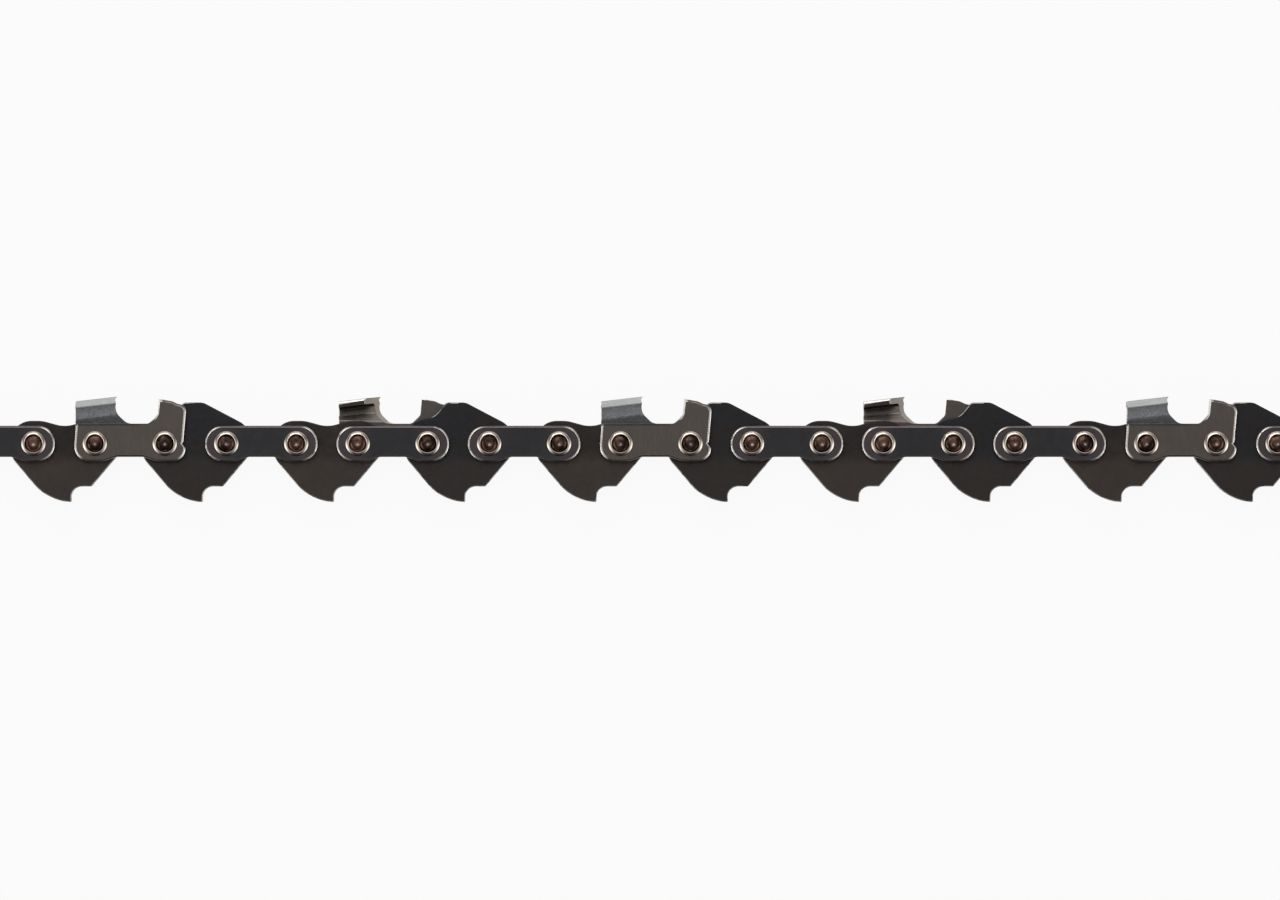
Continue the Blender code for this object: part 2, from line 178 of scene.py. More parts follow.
# Fineness
ARC_STEP = radians(6)
HOLE_SIDES = 48
FILLET_SHARE = 0.98
SPARE = 0.6 * MM
SLACK = SPARE / 100
WELD = 0.002 * MM
CREASE = radians(28)
FLAT = radians(0.5)
UPRIGHT_SHARE = 0.3

# The photograph: what a pixel covers, and where the middle cutter's rivets stand in it
IMAGE_WIDTH = 1280
IMAGE_HEIGHT = 900
PIXEL = 0.14155 * MM
MIDDLE_PIXEL = (655.5, 443.4)
CAMERA_HEIGHT = 1.6

# Shares of red, green and blue in a colder black, and the bright metal at a rivet's axis
COOLER = (1.0, 1.1, 1.25)
BARE_METAL = (0.34, 0.31, 0.29)

# The studio
FLOOR_HALF = 1.5
PAPER_SHARE = 0.93
KEY_SIZE = 0.9
KEY_PLACE = (-0.15, 0.6, 0.85)


def rivet_x(end, number):
    low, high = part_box(f"{end}_rivet_{number:02d}")
    return (low.x + high.x) / 2


PAIRS = sum(name.startswith("rear_rivet") for name in frame["nodes"])
STRAP_SPACING = rivet_x("front", 6) - rivet_x("rear", 6)
DRIVE_SPACING = rivet_x("rear", 7) - rivet_x("front", 6)
HALF_STRAP = STRAP_SPACING / 2
HALF_DRIVE = DRIVE_SPACING / 2
PAIR_PITCH = STRAP_SPACING + DRIVE_SPACING
MIDDLE_X = (rivet_x("front", 6) + rivet_x("rear", 6)) / 2
CORNER_Z = OUTER_FACE + CORNER_OUT
HEEL_X = -HALF_STRAP - HEEL_REACH
TIP_X = -HALF_STRAP + TIP_AHEAD
GULLET_X = HALF_STRAP + GULLET_END
STOCK_TOP = TOOTH_TOP + SPARE


def colour_property(name, description, value):
    return FloatVectorProperty(
        name=name, description=description, default=value,
        subtype="COLOR", size=3, min=0, max=1,
    )


def length_property(name, description, value):
    return FloatProperty(
        name=name, description=description, default=value,
        subtype="DISTANCE", unit="LENGTH", min=0, precision=5,
    )


class SawChainForm(bpy.types.PropertyGroup):
    """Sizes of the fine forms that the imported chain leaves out."""
    link_rim: length_property(
        "Link rim", "Width of the rounded rim round each drive link", 0.14 * MM)
    strap_rim: length_property(
        "Strap rim", "Width of the rounded rim round each tie strap", 0.27 * MM)
    cutter_rim: length_property(
        "Cutter rim", "Width of the polished rim round each cutter", 0.34 * MM)
    bend: length_property(
        "Bend", "How far each bend of a cutter's sheet is rounded", 0.3 * MM)
    gauge_lean: length_property(
        "Gauge lean", "How far a depth gauge's rear wall leans across the plate", 0.2 * MM)
    lip_width: length_property(
        "Lip width", "Width of the spun lip round the middle of a rivet's head", 0.54 * MM)
    lip_fall: length_property(
        "Lip fall", "How far a rivet's lip stands below the crown of its middle", 0.06 * MM)
    rim_steps: IntProperty(
        name="Rim steps", description="Facets across each rounded rim", default=4, min=1, max=8)


class SawChainFinish(bpy.types.PropertyGroup):
    """Colours of the steels."""
    blackened: colour_property(
        "Blackened", "Drive links, black oxide over steel", (0.0215, 0.0185, 0.0175))
    blackened_warm: colour_property(
        "Blackened, warm", "Brown patches on the drive links", (0.034, 0.027, 0.023))
    bumper: colour_property(
        "Bumper", "Drive links with a bumper, a colder black", (0.0185, 0.018, 0.0195))
    blued: colour_property(
        "Blued", "Middle of the tie straps", (0.0245, 0.0245, 0.0262))
    heat_tint: colour_property(
        "Heat tint", "Ends of the tie straps, round the rivets", (0.052, 0.042, 0.043))
    satin: colour_property(
        "Satin", "Flat sides of the cutters", (0.077, 0.067, 0.06))
    plated: colour_property(
        "Plated", "Flared side of the tooth", (0.37, 0.385, 0.405))
    chamfer: colour_property(
        "Chamfer", "Bright chamfer along the top of the tooth", (0.44, 0.455, 0.45))
    ground: colour_property(
        "Ground", "Faces ground by the file", (0.26, 0.235, 0.2))
    worn: colour_property(
        "Worn", "Rims polished by wear", (0.66, 0.62, 0.58))
    rivet: colour_property(
        "Rivet lip", "Spun lip of the rivets", (0.56, 0.5, 0.44))
    copper: colour_property(
        "Rivet middle", "Oil-browned middle of the rivets", (0.155, 0.088, 0.066))


class SawChainStudio(bpy.types.PropertyGroup):
    """Levels of the studio light."""
    overhead: FloatProperty(
        name="Overhead", description="Light from straight above", default=0.9, min=0, max=4)
    ends: FloatProperty(
        name="Ends", description="Light from the chain's two ends", default=4.0, min=0, max=8)
    ends_turn: FloatProperty(
        name="Ends' turn", description="How far the end lights stand round towards the tangs",
        default=radians(18), min=0, max=radians(90), subtype="ANGLE", unit="ROTATION")
    far: FloatProperty(
        name="Far side", description="Light from beyond the cutting edges",
        default=0.9, min=0, max=4)
    near: FloatProperty(
        name="Near side", description="Light from beside the tangs", default=0.04, min=0, max=4)
    horizon: FloatProperty(
        name="Horizon", description="Pale band all round, close over the floor",
        default=0.95, min=0, max=1)
    key_power: FloatProperty(
        name="Key lamp", description="Power of the soft lamp above",
        default=6.5, min=0, subtype="POWER", unit="POWER")
    floor: colour_property(
        "Floor", "Colour of the floor", (0.5, 0.5, 0.49))


# Forms

def turn_at(before, corner, after):
    """The angle that an outline turns by at a corner."""
    way_in = atan2(corner[1] - before[1], corner[0] - before[0])
    way_out = atan2(after[1] - corner[1], after[0] - corner[0])
    return abs((way_out - way_in + pi) % (2 * pi) - pi)


def fillets(corners):
    """For each corner (x, y, radius), how far its fillet reaches along its sides, and its turn."""
    spots = [(x, y) for x, y, _ in corners]
    count = len(corners)
    turns = [turn_at(spots[i - 1], spots[i], spots[(i + 1) % count]) for i in range(count)]
    wanted = [radius * tan(turn / 2) for turn, (_, _, radius) in zip(turns, corners)]
    found = []
    for i, reach in enumerate(wanted):
        for other in (i - 1, (i + 1) % count):
            room = FILLET_SHARE * dist(spots[i], spots[other])
            if reach and wanted[i] + wanted[other] > room:
                reach = min(reach, room * wanted[i] / (wanted[i] + wanted[other]))
        found.append((reach, turns[i]))
    return found


def outline_face(bm, corners, height):
    """A flat face whose corners are rounded one by one."""
    spots = [bm.verts.new((x, y, height)) for x, y, _ in corners]
    bm.faces.new(spots)
    for spot, (reach, turn) in zip(spots, fillets(corners)):
        if reach:
            bmesh.ops.bevel(
                bm, geom=[spot], affect="VERTICES", offset_type="OFFSET", offset=reach,
                segments=max(2, ceil(turn / ARC_STEP)), profile=0.5, material=-1,
            )


def raise_face(bm, height):
    """Extrudes all there is upwards into a closed plate. Returns the raised vertices."""
    raised = bmesh.ops.extrude_face_region(bm, geom=bm.faces[:])["geom"]
    upper = [item for item in raised if isinstance(item, bmesh.types.BMVert)]
    bmesh.ops.translate(bm, verts=upper, vec=(0, 0, height))
    bmesh.ops.recalc_face_normals(bm, faces=bm.faces)
    return upper


def object_of(bm, name, finishes=()):
    mesh = bpy.data.meshes.new(name)
    bm.to_mesh(mesh)
    bm.free()
    for finish in finishes:
        mesh.materials.append(finish)
    item = bpy.data.objects.new(name, mesh)
    bpy.context.scene.collection.objects.link(item)
    return item


def plate_object(name, corners, low, high, finishes, wall=1):
    """A punched plate. Its two flat sides take the first finish and its wall the given one."""
    bm = bmesh.new()
    outline_face(bm, corners, low)
    raise_face(bm, high - low)
    for face in bm.faces:
        face.material_index = 0 if abs(face.normal.z) > 0.5 else wall
    return object_of(bm, name, finishes)


def punch(x, radius, finishes, wall=1):
    """A round cutter for a hole at x."""
    bm = bmesh.new()
    depth = 8 * PLATE
    bmesh.ops.create_cone(
        bm, cap_ends=True, segments=HOLE_SIDES, radius1=radius, radius2=radius, depth=depth,
        matrix=Matrix.Translation((x, 0, 0)),
    )
    for face in bm.faces:
        face.material_index = wall
    return object_of(bm, "punch", finishes)


def evaluated_mesh(item):
    bpy.context.view_layer.update()
    shape = item.evaluated_get(bpy.context.evaluated_depsgraph_get())
    return bpy.data.meshes.new_from_object(shape)


def cut(item, tools):
    """The mesh left of an object after each tool's Boolean. Removes the object and the tools."""
    for operation, tool in tools:
        step = item.modifiers.new(tool.name, "BOOLEAN")
        step.operation = operation
        step.solver = "EXACT"
        step.material_mode = "INDEX"
        step.object = tool
    mesh = evaluated_mesh(item)
    for used in [item] + [tool for _, tool in tools]:
        bpy.data.objects.remove(used)
    return mesh


def soften(mesh, width, weight_of, steps, rim_finish):
    """Rounds the outer creases of a mesh, each by its own share of the width."""
    bm = bmesh.new()
    bm.from_mesh(mesh)
    bmesh.ops.remove_doubles(bm, verts=bm.verts, dist=WELD)
    bmesh.ops.dissolve_limit(
        bm, angle_limit=FLAT, verts=bm.verts, edges=bm.edges, delimit={"MATERIAL"})
    weights = bm.edges.layers.float.new("bevel_weight_edge")
    for edge in bm.edges:
        if edge.calc_face_angle_signed(0) > CREASE:
            edge[weights] = weight_of(edge)
        elif edge.calc_face_angle(0) > CREASE:
            edge.smooth = False
    item = object_of(bm, "softened", mesh.materials)
    rim = item.modifiers.new("rim", "BEVEL")
    rim.limit_method = "WEIGHT"
    rim.width = width
    rim.segments = steps
    rim.material = rim_finish
    rim.use_clamp_overlap = False
    rim.loop_slide = False
    even = item.modifiers.new("even shading", "WEIGHTED_NORMAL")
    even.keep_sharp = True
    for face in item.data.polygons:
        face.use_smooth = True
    softened = evaluated_mesh(item)
    bpy.data.objects.remove(item)
    return softened


def place_copies(kinds, mesh, middle_of):
    """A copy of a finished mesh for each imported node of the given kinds, riding on its body."""
    bodies = frame["record"]["behaviour"]["bodies"]
    for body, nodes in bodies.items():
        for node in nodes:
            kind, number = node.rsplit("_", 1)
            if kind not in kinds:
                continue
            x, z = middle_of(int(number), kind)
            copy = mesh.copy()
            copy.name = f"{node}_steel"
            copy.transform(Matrix.Translation((x, RIVET_CENTRE.y, z)))
            piece = bpy.data.objects.new(f"{node}_steel", copy)
            bpy.context.scene.collection.objects.link(piece)
            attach(piece, body)
            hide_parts(node)


def link_middle(number, kind):
    if number <= PAIRS:
        return rivet_x("rear", number) - HALF_DRIVE, RIVET_CENTRE.z
    return rivet_x("front", PAIRS) + HALF_DRIVE, RIVET_CENTRE.z


def pair_middle(number, kind):
    return (rivet_x("rear", number) + rivet_x("front", number)) / 2, RIVET_CENTRE.z


def strap_middle(number, kind):
    x, z = pair_middle(number, kind)
    side = 1 if kind.startswith("right") else -1
    return x, z + side * (OUTER_FACE + INNER_FACE) / 2


def rivet_middle(number, kind):
    return rivet_x(kind.split("_")[0], number), RIVET_CENTRE.z


def drive_tang():
    """Corners of a drive link's lower part, from the rear end round the tang to the front end."""
    rear = -HALF_DRIVE - REAR_REACH
    front = HALF_DRIVE + FRONT_REACH
    nose = TANG_TIP + SCOOP_LENGTH
    belly_top = -BELLY_DEPTH + (BELLY_CORNER - rear) * tan(BELLY_ANGLE)
    nose_top = -SCOOP_TOP + (front - nose) * tan(NOSE_ANGLE)
    return [
        (rear, belly_top, LOBE_ROUND),
        (BELLY_CORNER, -BELLY_DEPTH, BELLY_ROUND),
        (TANG_TIP, -TANG_DEPTH, TIP_ROUND),
        (TANG_TIP, -SCOOP_TOP, SCOOP_ROUND),
        (nose, -SCOOP_TOP, NOSE_ROUND),
        (front, nose_top, LOBE_ROUND),
    ]


def plain_back():
    shoulder = HALF_DRIVE - SHOULDER_INWARD
    return [
        (HALF_DRIVE + FRONT_REACH, LOBE_TOP, LOBE_ROUND),
        (shoulder, LOBE_TOP, SADDLE_ROUND),
        (0, SADDLE, SADDLE_ROUND),
        (-shoulder, LOBE_TOP, SADDLE_ROUND),
        (-HALF_DRIVE - REAR_REACH, LOBE_TOP, LOBE_ROUND),
    ]


def bumper_back():
    front = HALF_DRIVE + FRONT_REACH
    ramp_foot = BUMPER_TOP - (front - BUMPER_FRONT) * tan(BUMPER_SLOPE)
    flank_x = BUMPER_REAR - (BUMPER_TOP - FLANK_FOOT) / tan(FLANK_ANGLE)
    return [
        (front, ramp_foot, LOBE_ROUND),
        (BUMPER_FRONT, BUMPER_TOP, BUMPER_FRONT_ROUND),
        (BUMPER_REAR, BUMPER_TOP, BUMPER_REAR_ROUND),
        (flank_x, FLANK_FOOT, FLANK_ROUND),
        (-HALF_DRIVE - REAR_REACH, BUMPER_LOBE, LOBE_ROUND),
    ]


def plate_rim(edge):
    """A punched plate is rounded where sides and wall meet, and hardly at its upright corners."""
    flat = [abs(face.normal.z) > 0.5 for face in edge.link_faces]
    return 1.0 if any(flat) else UPRIGHT_SHARE


def drive_link_mesh(back, finishes, form):
    stock = plate_object("link", drive_tang() + back, -GAUGE / 2, GAUGE / 2, finishes)
    bore = HUB_RADIUS + HUB_CLEARANCE
    tools = [("DIFFERENCE", punch(x, bore, finishes)) for x in (-HALF_DRIVE, HALF_DRIVE)]
    return soften(cut(stock, tools), form.link_rim, plate_rim, form.rim_steps, 2)


def feet():
    """Corners along the bottom of a strap or cutter, between its heel and its toe."""
    foot = HALF_STRAP - FOOT_INWARD
    waist = foot - WAIST_RAMP
    return [
        (-foot, -FOOT, WAIST_ROUND),
        (-waist, -WAIST, WAIST_ROUND),
        (waist, -WAIST, WAIST_ROUND),
        (foot, -FOOT, WAIST_ROUND),
    ]


def tie_strap_mesh(finishes, form):
    end = HALF_STRAP + STRAP_REACH
    end_round = (STRAP_TOP + FOOT) / 2
    corners = [(-end, -FOOT, end_round), *feet()] + [
        (end, -FOOT, end_round),
        (end, STRAP_TOP, end_round),
        (-end, STRAP_TOP, end_round),
    ]
    stock = plate_object("strap", corners, -PLATE / 2, PLATE / 2, finishes)
    tools = [("DIFFERENCE", punch(x, SHANK_RADIUS + SEAT, finishes))
             for x in (-HALF_STRAP, HALF_STRAP)]
    return soften(cut(stock, tools), form.strap_rim, plate_rim, form.rim_steps, 2)


SIDE, JOG, FLARE, CHAMFER, TOP, FREE_EDGE, INSIDE, LEDGE, SHEARED, GROUND, RIM = range(11)


def cutter_blank():
    """The side view of a cutter with its depth gauge, before the gullet is cut out of the stock."""
    brow = HALF_STRAP + BROW_REACH
    gauge_front = HALF_STRAP + GAUGE_FRONT
    gauge_rear = HALF_STRAP + GAUGE_REAR
    stock_front = GULLET_X + GULLET_RAMP / 2
    slope = tan(GAUGE_SLOPE)
    return [(HEEL_X - HEEL_BULGE, -FOOT, HEEL_ROUND), *feet()] + [
        (HALF_STRAP + TOE_REACH, -FOOT, TOE_ROUND),
        (HALF_STRAP + TOE_REACH, TOE_TOP, 0),
        (HALF_STRAP + NOTCH_REACH, 0, 0),
        (HALF_STRAP + NOTCH_REACH + NOTCH_LIP, NOTCH_LIP, 0),
        (brow, BROW_TOP, BROW_ROUND),
        (HALF_STRAP + BROW_START, BROW_TOP + BROW_RISE, BROW_ROUND),
        (gauge_front, GAUGE_TOP - (gauge_front - gauge_rear) * slope, BROW_ROUND),
        (stock_front, GAUGE_TOP + (gauge_rear - stock_front) * slope, 0),
        (stock_front, STOCK_TOP, 0),
        (HEEL_X, STOCK_TOP, 0),
        (HEEL_X, JOG_START, HEEL_ROUND),
        (HEEL_X - HEEL_BULGE, 0, HEEL_ROUND),
    ]


def inside_of(outside, thicknesses):
    """The inner side of a bent sheet: each straight of the outside moved in by its thickness."""
    lines = []
    for start, end, thickness in zip(outside, outside[1:], thicknesses):
        along = (Vector(end) - Vector(start)).normalized()
        lines.append((Vector(start) + thickness * Vector((along.y, -along.x)), along))
    inside = [lines[0][0]]
    for (point, along), (other, onward) in zip(lines, lines[1:]):
        travel = (other - point).cross(onward) / along.cross(onward)
        inside.append(point + travel * along)
    point, along = lines[-1]
    inside.append(point + (Vector(outside[-1]) - point).dot(along) * along)
    return [tuple(spot) for spot in inside]


def tooth_top(x):
    return TOOTH_TOP + (x - TIP_X) * tan(TOOTH_SLOPE)


def tooth_section(x):
    """The bent sheet across the tooth at x: points up its outside and back down its inside."""
    top = tooth_top(x)
    relief = REAR_RELIEF * (TIP_X - x) / (TIP_X - HEEL_X)
    outside = [
        (-FOOT - SPARE, OUTER_FACE),
        (JOG_START, OUTER_FACE),
        (top - JOG_BELOW_TOP, OUTER_FACE + JOG_OUT - relief),
        (top - CORNER_BELOW_TOP, CORNER_Z - relief),
        (top, CORNER_Z - relief - CHAMFER_IN),
        (top, -TOP_REACH),
    ]
    inside = inside_of(outside, [PLATE] * 4 + [TOP_PLATE])
    return [(x, y, z) for y, z in outside + inside[::-1]]


def flat_section(x, bent):
    """The flat sheet across the depth gauge at x, matched to a bent section point by point."""
    flat = []
    for rise in (bent[:6], bent[:5:-1]):
        start = rise[1][1]
        heights = [rise[0][1]] + [start + (STOCK_TOP - start) * step / 4 for step in range(5)]
        flat.append([(x, y, rise[0][2]) for y in heights])
    return flat[0] + flat[1][::-1]


def section_edges(bm, section, bend):
    """Draws one section of the sheet with each of its bends rounded, and returns its edges."""
    spots = [bm.verts.new(point) for point in section]
    bm.faces.new(spots)
    for place, share in BEND_SHARES.items():
        bmesh.ops.bevel(
            bm, geom=[spots[place]], affect="VERTICES", offset_type="OFFSET",
            offset=share * bend, segments=BEND_STEPS, profile=0.5, material=-1,
        )
    x = section[0][0]
    return [edge for edge in bm.edges
            if all(abs(vert.co.x - x) < SLACK for vert in edge.verts)]


def band_of(face):
    """Which stretch of the bent sheet a face belongs to."""
    centre = face.calc_center_median()
    top = tooth_top(centre.x)
    if face.normal.z < -0.05 and centre.z < -TOP_REACH + 0.05 * MM:
        return FREE_EDGE
    if face.normal.z < 0.05 and face.normal.y < 0.9:
        return LEDGE if face.normal.y > 0.4 else INSIDE
    if centre.x > TIP_X + 2 * SPARE or centre.y < JOG_START:
        return SIDE
    if centre.y < top - JOG_BELOW_TOP:
        return JOG
    if centre.y < top - CORNER_BELOW_TOP:
        return FLARE
    return CHAMFER if centre.y < top - 0.05 * MM else TOP


def sheet_object(finishes, form):
    """The cutter's sheet, lofted through its bent and flat sections."""
    bent = tooth_section(TIP_X + 2 * SPARE)
    stations = [
        tooth_section(HEEL_X - SPARE),
        bent,
        flat_section(GULLET_X, bent),
        flat_section(HALF_STRAP + BROW_REACH + SPARE, bent),
    ]
    bm = bmesh.new()
    rings = [section_edges(bm, section, form.bend) for section in stations]
    middle = [face for face in bm.faces
              if abs(face.calc_center_median().x - stations[0][0][0]) > SLACK
              and abs(face.calc_center_median().x - stations[-1][0][0]) > SLACK]
    bmesh.ops.delete(bm, geom=middle, context="FACES_ONLY")
    for ring, onward in zip(rings, rings[1:]):
        bmesh.ops.bridge_loops(bm, edges=ring + onward)
    bmesh.ops.recalc_face_normals(bm, faces=bm.faces)
    for face in bm.faces:
        face.material_index = band_of(face)
    return object_of(bm, "sheet", finishes)


def file_object(finishes, lean):
    """The form of the gullet, slanted at the filing angle behind, and in front by how far the
    gauge's rear wall leans across the plate."""
    low = -TOP_REACH - SPARE
    high = CORNER_Z + SPARE
    above = STOCK_TOP + SPARE
    lip_y = TOOTH_TOP - LIP_DEPTH
    hook = tan(HOOK_ANGLE)
    ramp = tan(RAMP_ANGLE)
    tip = TIP_X + (low - CORNER_Z) * tan(FILING_ANGLE)
    lip = tip - LIP_DEPTH / tan(LIP_ANGLE)
    foot = tip + GULLET_START
    throat = (foot - lip + lip_y / hook + GULLET_FLOOR / ramp) / (1 / hook + 1 / ramp)
    bm = bmesh.new()
    outline_face(bm, [
        (tip + (above - TOOTH_TOP) / tan(LIP_ANGLE), above, 0),
        (lip, lip_y, LIP_ROUND),
        (lip + (throat - lip_y) / hook, throat, FILE_RADIUS),
        (foot, GULLET_FLOOR, FILE_RADIUS),
        (GULLET_X, GULLET_FLOOR, GULLET_ROUND),
        (GULLET_X + GULLET_RAMP, GULLET_FLOOR + GULLET_RAMP, GULLET_ROUND),
        (HALF_STRAP + GAUGE_REAR, GAUGE_TOP, 0),
        (HALF_STRAP + GAUGE_REAR, above, 0),
    ], low)
    upper = raise_face(bm, high - low)
    slanted = [vert for vert in upper if vert.co.x < (foot + GULLET_X) / 2]
    bmesh.ops.translate(bm, verts=slanted, vec=((high - low) * tan(FILING_ANGLE), 0, 0))
    wall = [vert for vert in bm.verts if vert.co.x > GULLET_X + GULLET_RAMP / 2]
    for level in (low, high):
        leaning = [vert for vert in wall if abs(vert.co.z - level) < SLACK]
        bmesh.ops.translate(bm, verts=leaning, vec=(lean * (level - INNER_FACE) / PLATE, 0, 0))
    for face in bm.faces:
        centre = face.calc_center_median()
        on_wall = centre.x > GULLET_X + GULLET_RAMP and centre.y > GULLET_FLOOR + GULLET_RAMP
        face.material_index = RIM if on_wall else GROUND
    return object_of(bm, "file", finishes)


def cutter_rim(edge):
    """A cutter keeps its ground edges keen. Its sheared rim is polished round."""
    kinds = {face.material_index for face in edge.link_faces}
    middle = (edge.verts[0].co + edge.verts[1].co) / 2
    if kinds & {GROUND, RIM}:
        return GROUND_SHARE
    if kinds == {TOP, FREE_EDGE}:
        return PLATE_EDGE_SHARE
    if kinds == {SHEARED}:
        return 0.0
    if kinds & {JOG, FLARE, CHAMFER, TOP, FREE_EDGE, INSIDE, LEDGE}:
        return SHEET_SHARE
    if middle.x > HALF_STRAP + NOTCH_REACH - 0.1 * MM and TOE_TOP < middle.y < NOTCH_LIP:
        return NOTCH_SHARE
    return 1.0


def cutter_mesh(side, finishes, form):
    """A cutter: its sheet is bent, blanked to its side view, and its gullet ground by a file."""
    sheet = sheet_object(finishes, form)
    low = -TOP_REACH - SPARE
    high = CORNER_Z + SPARE
    blank = plate_object("blank", cutter_blank(), low, high, finishes, wall=SHEARED)
    tools = [("INTERSECT", blank)]
    tools += [("DIFFERENCE", punch(x, SHANK_RADIUS + SEAT, finishes, wall=SHEARED))
              for x in (-HALF_STRAP, HALF_STRAP)]
    tools.append(("DIFFERENCE", file_object(finishes, form.gauge_lean)))
    mesh = cut(sheet, tools)
    if side < 0:
        bm = bmesh.new()
        bm.from_mesh(mesh)
        bmesh.ops.scale(bm, verts=bm.verts, vec=(1, 1, -1))
        bmesh.ops.reverse_faces(bm, faces=bm.faces)
        bm.to_mesh(mesh)
        bm.free()
    return soften(mesh, form.cutter_rim, cutter_rim, form.rim_steps, RIM)


def rivet_mesh(finishes, form):
    """A rivet spun about its axis: a dimpled crown within a rolled lip, at either end of a hub."""
    seat = OUTER_FACE + SEAT
    hub = INNER_FACE - SEAT
    crown = seat + HEAD_RISE - 0.03 * MM
    ridge = crown - form.lip_fall
    inner = HEAD_RADIUS - form.lip_width
    upper = [
        (0, crown - 0.09 * MM),
        (0.16 * MM, crown - 0.07 * MM),
        (0.34 * MM, crown),
        (0.58 * MM, crown - 0.01 * MM),
        (0.8 * MM, crown - 0.07 * MM),
        (1.0 * MM, crown - 0.19 * MM),
        (inner - 0.1 * MM, crown - 0.33 * MM),
        (inner - 0.04 * MM, crown - 0.34 * MM),
        (inner + 0.04 * MM, ridge),
        (inner + 0.23 * MM, ridge - 0.09 * MM),
        (HEAD_RADIUS - 0.09 * MM, ridge - 0.24 * MM),
        (HEAD_RADIUS, seat),
        (SHANK_RADIUS, seat),
        (SHANK_RADIUS, hub),
        (HUB_RADIUS, hub),
    ]
    lower = [(radius, -height) for radius, height in reversed(upper)]
    bm = bmesh.new()
    points = [bm.verts.new((radius, 0, height)) for radius, height in upper + lower]
    line = [bm.edges.new(pair) for pair in zip(points, points[1:])]
    bmesh.ops.spin(
        bm, geom=points + line, cent=(0, 0, 0), axis=(0, 0, 1), angle=2 * pi,
        steps=HOLE_SIDES, use_merge=True)
    bmesh.ops.remove_doubles(bm, verts=bm.verts, dist=WELD)
    bmesh.ops.recalc_face_normals(bm, faces=bm.faces)
    rings = []
    for edge in bm.edges:
        ends = [Vector(vert.co[:2]).length for vert in edge.verts]
        same = abs(ends[0] - ends[1]) < 0.001 * MM
        level = abs(edge.verts[0].co.z - edge.verts[1].co.z) < 0.001 * MM
        keen = abs(ends[0] - HEAD_RADIUS) < 0.1 * MM
        if level and same and not keen and abs(edge.verts[0].co.z) > seat + 0.01 * MM:
            rings.append(edge)
    bmesh.ops.bevel(
        bm, geom=rings, affect="EDGES", offset_type="PERCENT", offset=40,
        segments=3, profile=0.5, material=-1)
    for face in bm.faces:
        centre = face.calc_center_median()
        in_middle = Vector(centre[:2]).length < inner and abs(centre.z) > seat
        face.material_index = 1 if in_middle else 0
        face.smooth = True
    item = object_of(bm, "rivet", finishes)
    item.data.set_sharp_from_angle(angle=radians(24))
    mesh = item.data
    bpy.data.objects.remove(item)
    return mesh


# Finishes

def math_node(tree, operation, first, second):
    """A Math node on two numbers or sockets."""
    node = tree.nodes.new("ShaderNodeMath")
    node.operation = operation
    for socket, value in zip(node.inputs, (first, second)):
        if isinstance(value, (int, float)):
            socket.default_value = value
        else:
            tree.links.new(value, socket)
    return node.outputs["Value"]


